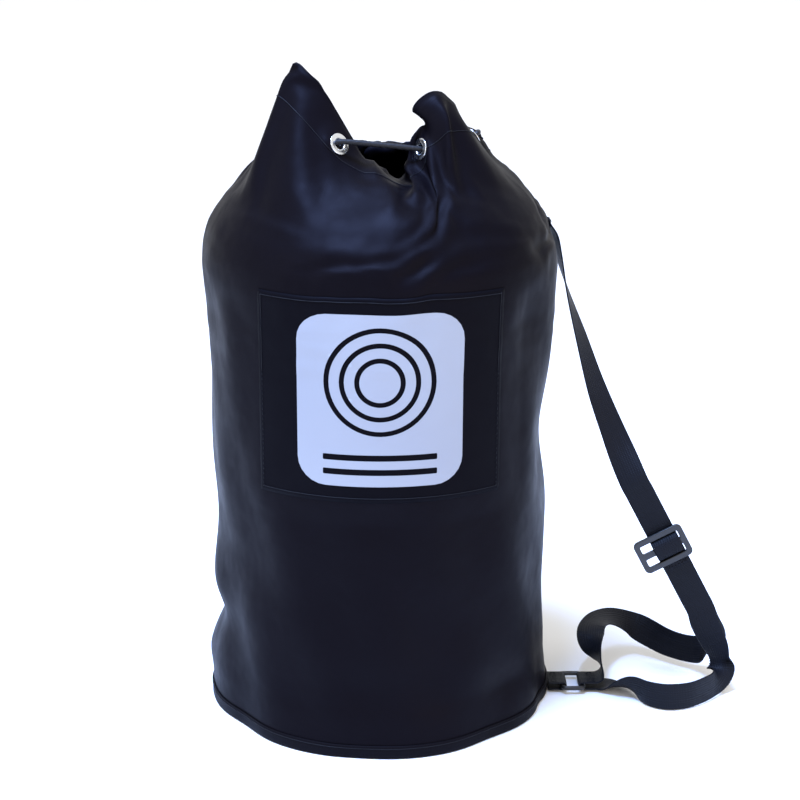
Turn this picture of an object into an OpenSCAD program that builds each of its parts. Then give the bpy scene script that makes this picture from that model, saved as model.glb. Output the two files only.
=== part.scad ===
// Rope storage bag: a round duffel with a drawn, eyeleted mouth and one shoulder strap.
// The origin is the centre of the base where the bag stands. +Z is up, -Y is the patch side,
// and +X is the side that carries the strap. Sizes are millimetres.

/* [Bag] */
// Radius of the filled tube
bag_r = 150; // [140:1:160]
// Height at which the neck starts to close
shoulder_z = 405; // [390:1:415]
// Thickness that stands for the coated fabric
wall_t = 1.2; // [1:0.1:1.5]
// Thickness of the stiffened base disc
base_t = 2.4; // [2:0.1:3]
// Height of the upper edge of the binding round the base seam
binding_top = 12; // [10:1:16]
// Thickness of the seam bindings
binding_t = 1.2; // [1:0.1:1.5]

/* [Front patch] */
// Height of the patch's lower edge
patch_low = 227; // [210:1:235]
// Height of the patch's upper edge
patch_high = 395; // [385:1:400]
// Thickness of the sewn patch
patch_t = 1; // [0.8:0.1:1.2]
// Thickness of the printed film
print_t = 0.3; // [0.2:0.1:0.5]

/* [Eyelets and cord] */
// Outer radius of an eyelet's flange
eyelet_r = 9; // [8:0.1:9]
// Radius of the hole that the cord runs through
eyelet_hole_r = 4.3; // [4.2:0.1:4.5]
// Thickness of a flange
flange_t = 1; // [0.8:0.1:1.2]
// Diameter of the drawcord
cord_d = 4.5; // [4:0.1:4.5]

/* [Cord lock] */
// Outer radius of the barrel
lock_r = 8; // [7.6:0.1:8.4]
// How far the button travels
button_travel = 4; // [3:0.5:4]

/* [Shoulder strap] */
// Width of the webbing
web_w = 25; // [24:0.5:25]
// Thickness of the webbing
web_t = 1.4; // [1.2:0.1:1.5]
// Lean of the straight stretch that the adjuster slides on, in degrees
strap_lean = 28; // [26:1:30]

/* [Adjuster] */
// Width across the strap
slider_w = 46; // [44:1:48]
// Length along the strap
slider_l = 32; // [30:1:34]
// Thickness of the bars
slider_t = 3; // [2.8:0.1:3.2]

/* [Ring] */
// Radius of the ring's bars
ring_bar_r = 2; // [1.8:0.1:2.1]
// Distance between the two long bars
ring_pitch = 18; // [18:0.5:20]
// Clear width between the short bars
ring_gap = 27; // [26.5:0.5:28]

/* [Hidden] */
EYELETS = 8;
EYELET_NODES = [for (k = [1 : EYELETS]) str("eyelet_", k)];
WASHER_NODES = [for (k = [1 : EYELETS]) str("eyelet_washer_", k)];

$fn = 64;
gap = 0.35;

// Colours
fabric_colour = [0.07, 0.08, 0.13];
patch_colour = [0.04, 0.04, 0.06];
print_colour = [0.72, 0.74, 0.77];
metal_colour = [0.75, 0.76, 0.78];
cord_colour = [0.05, 0.05, 0.06];
plastic_colour = [0.03, 0.03, 0.03];
webbing_colour = [0.08, 0.07, 0.09];

// The fabric's edge round the drawn mouth. There is one point at each eyelet and one midway between
// neighbours, every rim_step degrees round the tube from the first eyelet, left of the patch.
first_eyelet = -112.5;
rim_step = 22.5;
RIM = [
    [-28, -54, 512], [16, -34, 455],
    [27, -46, 506], [52, -62, 544],
    [66, -12, 510], [44, 14, 470],
    [66, 36, 502], [84, 74, 486],
    [28, 70, 480], [4, 28, 462],
    [-22, 70, 481], [-62, 86, 518],
    [-60, 40, 526], [-36, 12, 490],
    [-63, -4, 536], [-72, -42, 562]
];

// Neck shape: how far a meridian leaves the shoulder and the rim in a straight line.
shoulder_pull = 28;
rim_pull = 45;
rim_speed = 3 * rim_pull;
hem_w = 30;
hem_level = 1 - hem_w / rim_speed;
eyelet_level = 1 - hem_w / 2 / rim_speed;
column_step = 2.5;
neck_levels = [0.08, 0.16, 0.25, 0.35, 0.45, 0.55, 0.66, hem_level, 0.86, 0.93, 1];
wall_levels = concat([-1, 0], neck_levels);
hem_levels = [hem_level, 0.86, 0.93, 1];
all_columns = [0 : column_step : 360 - column_step];

// The base binding stops just above the surface that the base panel stands on.
binding_low = 0.5;

// Patch
patch_angles = [-130 : column_step : -50];
print_w = 130;
print_h = 140;
print_z = (patch_low + patch_high) / 2;

// Eyelets
barrel_wall = 0.9;
stack_t = wall_t + wall_t;
punch_r = eyelet_hole_r + barrel_wall + 0.2;

// Drawcord: which eyelets it passes, in order, and the height of its bends off the fabric.
cord_r = cord_d / 2;
cord_sides = 10;
LACING = [5, 4, 3, 2, 1, 8, 7, 6];
cord_out = 7;
cord_in = 8;

// Both tails run side by side through the cord lock, then over the shoulder and down the back.
tail_gap = 2.4;
lock_slope = 34;
lock_start = [3, 107, 464];
TAIL_DROP = [
    [0, 146, 437], [0, 154, 428], [0, 158, 412], [1, 158, 390],
    [2, 158, 360], [3, 157.5, 330], [3, 157, 300], [2, 157, 272]
];
tail_spread = [0, 1, 2, 3, 5, 7, 8, 8];

// Cord lock, built along its button's travel with the cords passing along its own Y
lock_slot_half_w = 5.1;
lock_slot_half_h = 2.7;
button_r = 5;
barrel_end = -20;
barrel_mouth = 10;
bore_end = -18.5;
button_end = -9.8;
button_head = 17;
hollow_r = 3.7;
hollow_depth = 3.8;
spring_r = 2.9;
spring_wire_r = 0.35;
spring_turns = 5;

// Shoulder strap. Each station is a point on the webbing's centre line and the direction of its width.
lean_down = [sin(strap_lean), 0, -cos(strap_lean)];
lean_across = [cos(strap_lean), 0, sin(strap_lean)];
web_back = 4.2;
web_shift = 4.5;
slider_at = [250, -10, 133];
strap_centre = slider_at + lean_across * web_shift + [0, web_back, 0];
straight_half = 52;
straight_end = 70;
anchor_columns = [12.5 : column_step : 22.5];
anchor_levels = [0.08, 0.16, 0.25, 0.35, 0.45, 0.55];
STRAP_ABOVE = [
    [[145, 46, 413], [-0.3, 0.95, 0]], [[150.5, 45, 404], [-0.28, 0.96, 0]],
    [[155, 42, 388], [-0.2, 0.98, 0]], [[164, 36, 354], [0.1, 0.98, 0.05]],
    [[176, 29, 316], [0.37, 0.9, 0.2]], [[190, 20, 272], [0.6, 0.74, 0.33]],
    [[206, 9, 232], [0.76, 0.5, 0.4]]
];
STRAP_BELOW = [
    [[291, -7, 60], [0.88, -0.1, 0.44]], [[300, -11, 42], [0.8, -0.4, 0.4]],
    [[305, -15, 27], [0.5, -0.75, -0.35]], [[304, -24, 18], [0.2, -0.6, -0.75]],
    [[297, -35, 14], [0, -0.1, -1]], [[285, -47, 13.6], [0, 0, -1]],
    [[270, -57, 13.4], [0, 0, -1]], [[252, -60, 13.4], [0, 0, -1]],
    [[237, -54, 13.4], [0, 0.1, -1]], [[227, -42, 13], [0.1, 0.3, -0.95]],
    [[219, -31, 9.5], [0.4, 0.65, -0.65]], [[212, -21, 5], [0.6, 0.75, -0.2]],
    [[204, -14.5, 3.3], [0.3, 0.95, 0]], [[196.2, -11, 2.7], [0.1, 0.99, 0]]
];
STRAP_RETURN = [
    [[193, -11, 8.8], [0, 1, 0]], [[195.5, -11, 9.2], [0, 1, 0]],
    [[199.5, -11, 12], [0, 1, 0]], [[200, -10.5, 18], [0, 1, 0]],
    [[196, -7, 27], [-0.3, 0.95, -0.1]], [[192, 0, 36], [-0.7, 0.7, -0.2]],
    [[191, 10, 43], [-0.9, 0.3, 0]], [[195, 24, 46], [-0.85, 0.5, 0]],
    [[205, 41, 44], [-0.6, 0.7, 0.2]],
    [[220, 55, 38], [-0.3, 0.8, 0.5]], [[236, 60, 30], [-0.1, 0.7, 0.75]],
    [[250, 54, 24], [0, 0.5, 0.87]], [[264, 43, 20], [0.1, 0.3, 0.95]],
    [[277, 33, 19], [0.1, 0.2, 0.97]], [[289, 25, 20], [0.3, 0.2, 0.93]],
    [[299, 16, 24], [0.7, 0.3, 0.65]], [[303, 10, 32], [0.85, 0.2, 0.48]],
    [[300, 4, 45], [0.88, 0.05, 0.46]], [[292, -3, 61], [0.88, -0.05, 0.47]]
];
return_back = web_t + 2 * gap;

// Adjuster
bar_w = 5.5;
slot_w = 7.5;
slot_l = slider_w - 10;
hump_gap = 0.3;

// Ring at the foot of the bag
ring_y = -11;
ring_z = ring_bar_r + gap + web_t + 2;
inner_bar_x = bag_r + 14;
outer_bar_x = inner_bar_x + ring_pitch;
loop_in_r = ring_bar_r + gap;
loop_out_r = loop_in_r + web_t;

function wrap_point(i) = RIM[(i % len(RIM) + len(RIM)) % len(RIM)];

function spline(a, b, c, d, u) =
    0.5 * (2 * b + (c - a) * u + (2 * a - 5 * b + 4 * c - d) * u * u + (3 * b - a - 3 * c + d) * u * u * u);

// Point of the fabric's edge at a fabric angle
function rim(angle) =
    let (s = (angle - first_eyelet) / rim_step, i = floor(s))
    spline(wrap_point(i - 1), wrap_point(i), wrap_point(i + 1), wrap_point(i + 2), s - i);

function unit(v) = v / norm(v);

// How far the plan angle of the edge is turned from the fabric angle
function rim_turn(angle) =
    let (edge = rim(angle), turn = atan2(edge.y, edge.x) - angle)
    turn - 360 * round(turn / 360);

function ease(t) = t * t * (3 - 2 * t);

// Point of the neck: level 0 is the shoulder and level 1 the rim
function neck(angle, level) =
    let (
        edge = rim(angle),
        p0 = [bag_r, shoulder_z],
        p3 = [norm([edge.x, edge.y]), edge.z],
        p1 = p0 + [0, shoulder_pull],
        p2 = p3 + rim_pull * unit(p0 - p3),
        s = 1 - level,
        p = s * s * s * p0 + 3 * s * s * level * p1 + 3 * s * level * level * p2 + level * level * level * p3,
        turned = angle + rim_turn(angle) * ease(level)
    )
    [p.x * cos(turned), p.x * sin(turned), p.y];

// Point of the whole wall: level -1 is the foot and level 0 the shoulder
function fabric(angle, level) =
    level > 0
        ? neck(angle, level)
        : [bag_r * cos(angle), bag_r * sin(angle), shoulder_z + level * (shoulder_z - base_t)];

function level_of(z) = (z - shoulder_z) / (shoulder_z - base_t);

function fabric_normal(angle, level) =
    level <= 0
        ? [cos(angle), sin(angle), 0]
        : unit(cross(
            fabric(angle + 0.5, level) - fabric(angle - 0.5, level),
            fabric(angle, level + 0.005) - fabric(angle, level - 0.005)
        ));

// A skin that follows the fabric between two offsets from its outer face
module skin(angles, levels, outer, inner, closed = false) {
    columns = [for (a = angles) a];
    wide = len(columns);
    tall = len(levels);
    last = closed ? wide : wide - 1;
    function spot(side, row, col) = side * wide * tall + row * wide + col % wide;
    function quad(a, b, c, d) = [[a, b, c], [a, c, d]];
    points = [
        for (offset = [outer, inner]) for (t = levels) for (a = columns)
            fabric(a, t) + offset * fabric_normal(a, t)
    ];
    front = [
        for (j = [0 : tall - 2]) for (i = [0 : last - 1])
            each quad(spot(0, j, i), spot(0, j + 1, i), spot(0, j + 1, i + 1), spot(0, j, i + 1))
    ];
    back = [
        for (j = [0 : tall - 2]) for (i = [0 : last - 1])
            each quad(spot(1, j, i), spot(1, j, i + 1), spot(1, j + 1, i + 1), spot(1, j + 1, i))
    ];
    foot = [
        for (i = [0 : last - 1])
            each quad(spot(0, 0, i), spot(0, 0, i + 1), spot(1, 0, i + 1), spot(1, 0, i))
    ];
    head = [
        for (i = [0 : last - 1])
            each quad(
                spot(0, tall - 1, i), spot(1, tall - 1, i), spot(1, tall - 1, i + 1), spot(0, tall - 1, i + 1)
            )
    ];
    ends = closed ? [] : [
        for (j = [0 : tall - 2])
            each concat(
                quad(spot(0, j, 0), spot(1, j, 0), spot(1, j + 1, 0), spot(0, j + 1, 0)),
                quad(spot(0, j, last), spot(0, j + 1, last), spot(1, j + 1, last), spot(1, j, last))
            )
    ];
    polyhedron(points = points, faces = concat(front, back, foot, head, ends), convexity = 10);
}

function eyelet_angle(k) = first_eyelet + (k - 1) * 2 * rim_step;
function eyelet_centre(k) = fabric(eyelet_angle(k), eyelet_level);
function eyelet_normal(k) = fabric_normal(eyelet_angle(k), eyelet_level);

// Places a child that is built along +Z with its +Z along a direction
module aim(at, direction) {
    d = unit(direction);
    translate(at)
        rotate([0, acos(d.z), atan2(d.y, d.x)])
            children();
}

module punch_eyelets() {
    for (k = [1 : EYELETS])
        aim(eyelet_centre(k), eyelet_normal(k))
            cylinder(r = punch_r, h = 16, center = true, $fn = 24);
}

// A round tube along a list of points
module tube(path, r, sides = cord_sides) {
    last = len(path) - 1;
    tangents = [for (i = [0 : last]) unit(path[min(i + 1, last)] - path[max(i - 1, 0)])];
    function carry(i, side) =
        let (flat = unit(side - (side * tangents[i]) * tangents[i]))
        i == last ? [flat] : concat([flat], carry(i + 1, flat));
    start = abs(tangents[0].z) < 0.8 ? [0, 0, 1] : [1, 0, 0];
    sides_at = carry(0, start);
    points = [
        for (i = [0 : last]) for (k = [0 : sides - 1])
            let (u = sides_at[i], v = cross(tangents[i], u), a = 360 * k / sides)
            path[i] + r * (cos(a) * u + sin(a) * v)
    ];
    skin_faces = [
        for (i = [0 : last - 1]) for (k = [0 : sides - 1])
            let (a = i * sides + k, b = i * sides + (k + 1) % sides)
            each [[a, a + sides, b + sides], [a, b + sides, b]]
    ];
    caps = [[for (k = [0 : sides - 1]) k], [for (k = [sides - 1 : -1 : 0]) last * sides + k]];
    polyhedron(points = points, faces = concat(skin_faces, caps), convexity = 10);
}

function smooth_path(path, steps) =
    let (last = len(path) - 1)
    concat(
        [
            for (i = [0 : last - 1]) for (k = [0 : steps - 1])
                spline(path[max(i - 1, 0)], path[i], path[i + 1], path[min(i + 2, last)], k / steps)
        ],
        [path[last]]
    );

// A flat band along stations of [centre, width direction]
module band(stations, steps) {
    centres = smooth_path([for (s = stations) s[0]], steps);
    widths = smooth_path([for (s = stations) unit(s[1])], steps);
    last = len(centres) - 1;
    points = [
        for (i = [0 : last])
            let (
                t = unit(centres[min(i + 1, last)] - centres[max(i - 1, 0)]),
                n = unit(cross(t, widths[i])),
                w = cross(n, t)
            )
            each [
                for (c = [[1, 1], [-1, 1], [-1, -1], [1, -1]])
                    centres[i] + c[0] * w * web_w / 2 + c[1] * n * web_t / 2
            ]
    ];
    sides = [
        for (i = [0 : last - 1]) for (k = [0 : 3])
            let (a = i * 4 + k, b = i * 4 + (k + 1) % 4)
            each [[a, b + 4, b], [a, a + 4, b + 4]]
    ];
    caps = [[0, 1, 2, 3], [last * 4 + 3, last * 4 + 2, last * 4 + 1, last * 4]];
    polyhedron(points = points, faces = concat(sides, caps), convexity = 10);
}

// ---- Bag ----

module bag_wall() {
    color(fabric_colour)
        difference() {
            skin(all_columns, wall_levels, 0, -wall_t, closed = true);
            punch_eyelets();
        }
}

module base_panel() {
    color(fabric_colour)
        cylinder(r = bag_r, h = base_t, $fn = 360 / column_step);
}

module base_binding() {
    color(fabric_colour)
        difference() {
            translate([0, 0, binding_low])
                cylinder(r = bag_r + binding_t, h = binding_top - binding_low, $fn = 360 / column_step);
            translate([0, 0, -1])
                cylinder(r = bag_r, h = binding_top + 2, $fn = 360 / column_step);
        }
}

module side_seam_tape() {
    color(fabric_colour)
        skin([-5 : column_step : 5], [-1, 0, 0.08, 0.16, 0.25, 0.35, 0.45, 0.55, 0.66], -wall_t, -2 * wall_t);
}

module hem_band() {
    color(fabric_colour)
        difference() {
            skin(all_columns, hem_levels, -wall_t, -2 * wall_t, closed = true);
            punch_eyelets();
        }
}

module front_patch() {
    color(patch_colour)
        skin(patch_angles, [level_of(patch_low), level_of(patch_high)], patch_t, 0);
}

// Printed mark: a plain rounded block with a coil of rope over two bars
module front_print() {
    color(print_colour)
        intersection() {
            skin(patch_angles, [level_of(patch_low), level_of(patch_high)], patch_t + print_t, patch_t);
            translate([0, -bag_r, print_z])
                rotate([90, 0, 0])
                    linear_extrude(height = bag_r, center = true)
                        difference() {
                            print_block();
                            print_rope();
                        }
        }
}

module print_block() {
    corner = 22;
    for (sx = [-1, 1]) for (sy = [-1, 1])
        translate([sx * (print_w / 2 - corner), sy * (print_h / 2 - corner)])
            circle(r = corner);
    square([print_w, print_h - 2 * corner], center = true);
    square([print_w - 2 * corner, print_h], center = true);
}

module print_rope() {
    for (r = [18 : 12 : 42])
        translate([0, 16])
            difference() {
                circle(r = r + 2);
                circle(r = r - 2);
            }
    for (y = [-46, -58])
        translate([0, y])
            square([90, 5], center = true);
}

// ---- Eyelets ----

module eyelet(k) {
    color(metal_colour)
        aim(eyelet_centre(k), eyelet_normal(k))
            rotate_extrude()
                polygon([
                    [eyelet_hole_r, -stack_t - flange_t - 0.6],
                    [eyelet_hole_r + barrel_wall, -stack_t - flange_t - 0.6],
                    [eyelet_hole_r + barrel_wall, 0],
                    [eyelet_r, 0],
                    [eyelet_r, flange_t * 0.5],
                    [eyelet_r - 1.5, flange_t],
                    [eyelet_hole_r + 0.6, flange_t],
                    [eyelet_hole_r, flange_t * 0.5]
                ]);
}

module eyelet_washer(k) {
    color(metal_colour)
        aim(eyelet_centre(k), eyelet_normal(k))
            translate([0, 0, -stack_t - flange_t])
                difference() {
                    cylinder(r = eyelet_r, h = flange_t);
                    translate([0, 0, -1])
                        cylinder(r = eyelet_hole_r + barrel_wall + 0.1, h = flange_t + 2);
                }
}

// ---- Drawcord ----

function cord_outside(k) = eyelet_centre(k) + cord_out * eyelet_normal(k);
function cord_inside(k) = eyelet_centre(k) - cord_in * eyelet_normal(k);

// Odd places in the lacing run inwards and even places run outwards
function lacing_path() = [
    for (i = [0 : EYELETS - 1])
        let (k = LACING[i], inwards = i % 2 == 0)
        each [
            inwards ? cord_outside(k) : cord_inside(k),
            eyelet_centre(k) - eyelet_normal(k),
            inwards ? cord_inside(k) : cord_outside(k)
        ]
];

module drawcord() {
    color(cord_colour)
        tube(smooth_path(lacing_path(), 3), cord_r);
}

lock_down = [0, cos(lock_slope), -sin(lock_slope)];

function tail_entry(side) = lock_start - 22 * lock_down + [side * (tail_gap + 1.6), 0, 0];

function tail_path(k, side) = concat(
    [cord_outside(k)],
    [(cord_outside(k) + tail_entry(side)) / 2],
    [tail_entry(side)],
    [for (s = [-12 : 12 : 36]) lock_start + s * lock_down + [side * tail_gap, 0, 0]],
    [
        for (i = [0 : len(TAIL_DROP) - 1])
            TAIL_DROP[i] + [lock_start.x + side * (tail_gap + tail_spread[i]), 0, 0]
    ]
);

module drawcord_tail(k, side) {
    color(cord_colour)
        tube(smooth_path(tail_path(k, side), 2), cord_r);
}

module tail_knot(k, side) {
    path = tail_path(k, side);
    color(cord_colour)
        translate(path[len(path) - 1] - [0, 0, 6])
            sphere(r = 6, $fn = 20);
}

// ---- Cord lock ----

module lock_frame() {
    translate(lock_start)
        rotate([-lock_slope, 0, 0])
            children();
}

module lock_slot(from, to) {
    translate([from, -20, -lock_slot_half_h])
        cube([to - from, 40, 2 * lock_slot_half_h]);
}

module along_x(r, from, to) {
    translate([from, 0, 0])
        rotate([0, 90, 0])
            cylinder(r = r, h = to - from);
}

module cord_lock_barrel() {
    color(plastic_colour)
        lock_frame()
            difference() {
                along_x(lock_r, barrel_end, barrel_mouth);
                along_x(button_r + gap, bore_end, barrel_mouth + 1);
                lock_slot(-lock_slot_half_w, lock_slot_half_w);
            }
}

module cord_lock_button() {
    color(plastic_colour)
        lock_frame()
            difference() {
                along_x(button_r, button_end, button_head);
                along_x(hollow_r, button_end - 1, button_end + hollow_depth);
                lock_slot(-lock_slot_half_w, lock_slot_half_w + button_travel);
            }
}

module cord_lock_spring() {
    spring_l = button_end - bore_end - 2 * spring_wire_r - 0.8;
    coil = [
        for (a = [0 : 30 : 360 * spring_turns])
            [
                bore_end + spring_wire_r + 0.2 + spring_l * a / (360 * spring_turns),
                spring_r * cos(a),
                spring_r * sin(a)
            ]
    ];
    color(metal_colour)
        lock_frame()
            tube(coil, spring_wire_r, 6);
}

// ---- Shoulder strap ----

function strap_at(along, back) = [strap_centre + along * lean_down + [0, back, 0], lean_across];

module strap_top_end() {
    color(webbing_colour)
        skin(anchor_columns, anchor_levels, web_t, 0);
}

module shoulder_strap() {
    straight = [for (along = [-straight_end, -straight_half, 0, straight_half, straight_end]) strap_at(along, 0)];
    color(webbing_colour)
        band(concat(STRAP_ABOVE, straight, STRAP_BELOW), 3);
}

module strap_return() {
    straight = [for (along = [straight_end, straight_half, 0]) strap_at(along, return_back)];
    color(webbing_colour)
        band(concat(STRAP_RETURN, straight), 3);
}

// Places a child with X across the strap, Y up the strap and Z to the strap's face
module slider_frame() {
    translate(slider_at)
        rotate([0, -strap_lean, 0])
            rotate([90, 0, 0])
                children();
}

module slider_outline() {
    corner = 5;
    for (sx = [-1, 1]) for (sy = [-1, 1])
        translate([sx * (slider_w / 2 - corner), sy * (slider_l / 2 - corner)])
            circle(r = corner);
    square([slider_w, slider_l - 2 * corner], center = true);
    square([slider_w - 2 * corner, slider_l], center = true);
}

module slide_adjuster() {
    slot_at = slider_l / 2 - bar_w - slot_w / 2;
    color(plastic_colour)
        slider_frame()
            difference() {
                linear_extrude(height = slider_t, center = true)
                    slider_outline();
                for (s = [-1, 1])
                    translate([0, s * slot_at, 0])
                        cube([slot_l, slot_w, 2 * slider_t], center = true);
            }
}

module strap_hump() {
    low = slider_t / 2 + web_t + 2 * hump_gap;
    half = slider_l / 2 - bar_w - 1;
    color(webbing_colour)
        slider_frame()
            translate([web_shift - web_w / 2, 0, 0])
                rotate([90, 0, 90])
                    linear_extrude(height = web_w)
                        polygon([
                            [-half, -0.4], [-half + 1.5, -0.4], [-4.6, low + web_t], [4.6, low + web_t],
                            [half - 1.5, -0.4], [half, -0.4], [half, 0.4], [6, low + web_t + 1.2],
                            [-6, low + web_t + 1.2], [-half, 0.4]
                        ]);
}

module strap_sewn_end() {
    in_y = 3 + hump_gap;
    in_z = slider_t / 2 + hump_gap / 2;
    ply = web_t - 0.2;
    tail = slider_l / 2 + 6;
    color(webbing_colour)
        slider_frame()
            translate([web_shift - web_w / 2, 0, 0])
                rotate([90, 0, 90])
                    linear_extrude(height = web_w) {
                        difference() {
                            square([2 * (in_y + ply), 2 * (in_z + ply)], center = true);
                            square([2 * in_y, 2 * in_z], center = true);
                        }
                        translate([-tail, -in_z - ply])
                            square([tail, ply]);
                    }
}

// ---- Ring at the foot ----

module ring_bar(from, to) {
    aim(from, to - from)
        cylinder(r = ring_bar_r, h = norm(to - from));
}

module strap_ring() {
    half = ring_gap / 2 + ring_bar_r;
    corners = [
        [inner_bar_x, ring_y - half, ring_z], [outer_bar_x, ring_y - half, ring_z],
        [outer_bar_x, ring_y + half, ring_z], [inner_bar_x, ring_y + half, ring_z]
    ];
    color(plastic_colour)
        for (i = [0 : 3]) {
            ring_bar(corners[i], corners[(i + 1) % 4]);
            translate(corners[i])
                sphere(r = ring_bar_r, $fn = 32);
        }
}

// Webbing folded round a bar that lies along Y, with two plies running to x = reach
module web_fold(bar_x, reach) {
    toward = sign(reach - bar_x);
    long = abs(reach - bar_x);
    translate([bar_x, ring_y + web_w / 2, ring_z])
        rotate([90, 0, 0])
            linear_extrude(height = web_w) {
                difference() {
                    circle(r = loop_out_r);
                    circle(r = loop_in_r);
                    translate([toward * loop_out_r, 0])
                        square(2 * loop_out_r, center = true);
                }
                for (s = [-1, 1])
                    translate([toward * long / 2, s * (loop_in_r + web_t / 2)])
                        square([long, web_t], center = true);
            }
}

module ring_tab() {
    color(webbing_colour)
        difference() {
            web_fold(inner_bar_x, bag_r - 4);
            cylinder(r = bag_r + binding_t, h = 30, $fn = 360 / column_step);
        }
}

module strap_ring_turn() {
    color(webbing_colour)
        web_fold(outer_bar_x, outer_bar_x + 9);
}

bag_wall();
base_panel();
base_binding();
side_seam_tape();
hem_band();
front_patch();
front_print();
for (k = [1 : EYELETS]) {
    eyelet(k);
    eyelet_washer(k);
}
drawcord();
drawcord_tail(6, -1);  // drawcord_tail_left
drawcord_tail(5, 1);  // drawcord_tail_right
tail_knot(6, -1);  // tail_knot_left
tail_knot(5, 1);  // tail_knot_right
cord_lock_barrel();
cord_lock_button();
cord_lock_spring();
strap_top_end();
shoulder_strap();
strap_return();
strap_hump();
strap_sewn_end();
strap_ring_turn();
slide_adjuster();
strap_ring();
ring_tab();
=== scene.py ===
"""Looks of the rope storage bag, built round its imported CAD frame. Metres, +Z up, the patch faces -Y."""

import math

import bmesh
import bpy
import numpy as np
from mathutils import Matrix, Vector


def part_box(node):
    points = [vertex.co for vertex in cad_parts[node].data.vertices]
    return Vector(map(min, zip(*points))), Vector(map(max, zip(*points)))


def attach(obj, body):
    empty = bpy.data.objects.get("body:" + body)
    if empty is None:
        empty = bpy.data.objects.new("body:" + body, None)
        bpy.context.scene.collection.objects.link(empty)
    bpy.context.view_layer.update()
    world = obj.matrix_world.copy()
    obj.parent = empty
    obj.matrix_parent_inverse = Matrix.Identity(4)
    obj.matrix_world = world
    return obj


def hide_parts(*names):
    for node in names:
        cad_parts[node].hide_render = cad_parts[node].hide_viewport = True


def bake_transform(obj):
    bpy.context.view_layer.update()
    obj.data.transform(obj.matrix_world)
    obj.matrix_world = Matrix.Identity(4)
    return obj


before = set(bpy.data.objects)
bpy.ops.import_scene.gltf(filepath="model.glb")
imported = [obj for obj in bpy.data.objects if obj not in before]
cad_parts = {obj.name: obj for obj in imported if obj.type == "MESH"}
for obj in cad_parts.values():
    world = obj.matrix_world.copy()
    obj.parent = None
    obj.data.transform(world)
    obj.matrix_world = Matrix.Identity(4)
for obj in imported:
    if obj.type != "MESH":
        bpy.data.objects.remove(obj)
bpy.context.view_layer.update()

# ---------------------------------------------------------------- driving sizes

BAG_R = 0.150
WALL_T = 0.0012
FABRIC_H = 0.568
HEM_W = 0.030
BINDING_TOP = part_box("base_binding")[1].z
PATCH_ANGLES = (-130.0, -50.0)
PATCH_T = 0.0012
PATCH_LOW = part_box("front_patch")[0].z
PATCH_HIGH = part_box("front_patch")[1].z
PRINT_SIZE = (0.130, 0.140)
PRINT_Z = (PATCH_LOW + PATCH_HIGH) / 2
PRINT_ROPE_AT = (0, 0.016)
PRINT_LIFT = 0.0003
ANCHOR_ANGLES = (12.5, 22.5)
ANCHOR_HEIGHTS = (0.418, 0.495)

EYELETS = 8
FIRST_EYELET = -112.5
EYELET_STEP = 45.0
EYELET_R = 0.009
EYELET_HOLE_R = 0.0043
CORD_D = 0.0045

WEB_W = 0.025
WEB_T = 0.0015
STRAP_LEAN = math.radians(28)
SLIDER_AT = np.array([0.250, -0.010, 0.133])
SLIDER_SIZE = (0.046, 0.032, 0.003)
SLIDER_BAR = 0.0055
SLIDER_SLOT = (0.036, 0.0075)
WEB_SHIFT = 0.0045
WEB_BACK = 0.0042

RING_Y = -0.011
RING_Z = 0.00575
RING_R = 0.002
INNER_BAR_X = 0.164
OUTER_BAR_X = 0.182
RING_HALF = 0.0155

COLUMNS = 128
ROW_STEP = 0.0075

# ---------------------------------------------------------------- camera, floor and light

CAMERA_BACK = 1.551
CAMERA_HEIGHT = 0.7414
CAMERA_PITCH = math.radians(17)
CAMERA_LENS = 84.15
FRAME_SHIFT = 0.025


def make_camera():
    data = bpy.data.cameras.new("camera")
    data.lens = CAMERA_LENS
    data.sensor_width = 36
    data.shift_x = FRAME_SHIFT
    data.clip_end = 20
    camera = bpy.data.objects.new("camera", data)
    camera.location = (0, -CAMERA_BACK, CAMERA_HEIGHT)
    camera.rotation_euler = (math.pi / 2 - CAMERA_PITCH, 0, 0)
    bpy.context.scene.collection.objects.link(camera)
    bpy.context.scene.camera = camera


def area_light(name, at, toward, size, power, colour):
    data = bpy.data.lights.new(name, "AREA")
    data.shape = "DISK"
    data.size = size
    data.energy = power
    data.color = colour
    lamp = bpy.data.objects.new(name, data)
    lamp.location = at
    aim = Vector(toward) - Vector(at)
    lamp.rotation_euler = aim.to_track_quat("-Z", "Y").to_euler()
    bpy.context.scene.collection.objects.link(lamp)


def make_stage():
    mesh = bpy.data.meshes.new("floor")
    size = 14
    corners = [(-size, -size, 0), (size, -size, 0), (size, size, 0), (-size, size, 0)]
    mesh.from_pydata(corners, [], [(0, 1, 2, 3)])
    floor = bpy.data.objects.new("floor", mesh)
    bpy.context.scene.collection.objects.link(floor)
    paint = bpy.data.materials.new("floor_paint")
    paint.use_nodes = True
    shader = paint.node_tree.nodes["Principled BSDF"]
    shader.inputs["Base Color"].default_value = (0.99, 0.99, 0.99, 1)
    shader.inputs["Roughness"].default_value = 0.9
    mesh.materials.append(paint)
    world = bpy.data.worlds.new("studio")
    world.use_nodes = True
    world.node_tree.nodes["Background"].inputs["Color"].default_value = (1, 1, 1, 1)
    world.node_tree.nodes["Background"].inputs["Strength"].default_value = 1.0
    bpy.context.scene.world = world
    area_light("top_light", (-0.35, -0.45, 2.3), (0, 0, 0.4), 0.8, 145, (0.34, 0.52, 1.0))
    area_light("side_light", (-1.8, -1.2, 1.2), (0, 0, 0.3), 0.9, 10, (0.85, 0.9, 1.0))
    area_light("warm_fill", (1.4, -1.6, 0.5), (0.1, 0, 0.1), 1.2, 9, (1.0, 0.78, 0.58))


make_camera()
make_stage()
bpy.context.scene.view_settings.view_transform = "Standard"

# ---------------------------------------------------------------- small helpers


def unit(v):
    v = np.asarray(v, float)
    return v / np.linalg.norm(v, axis=-1, keepdims=True)


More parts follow.
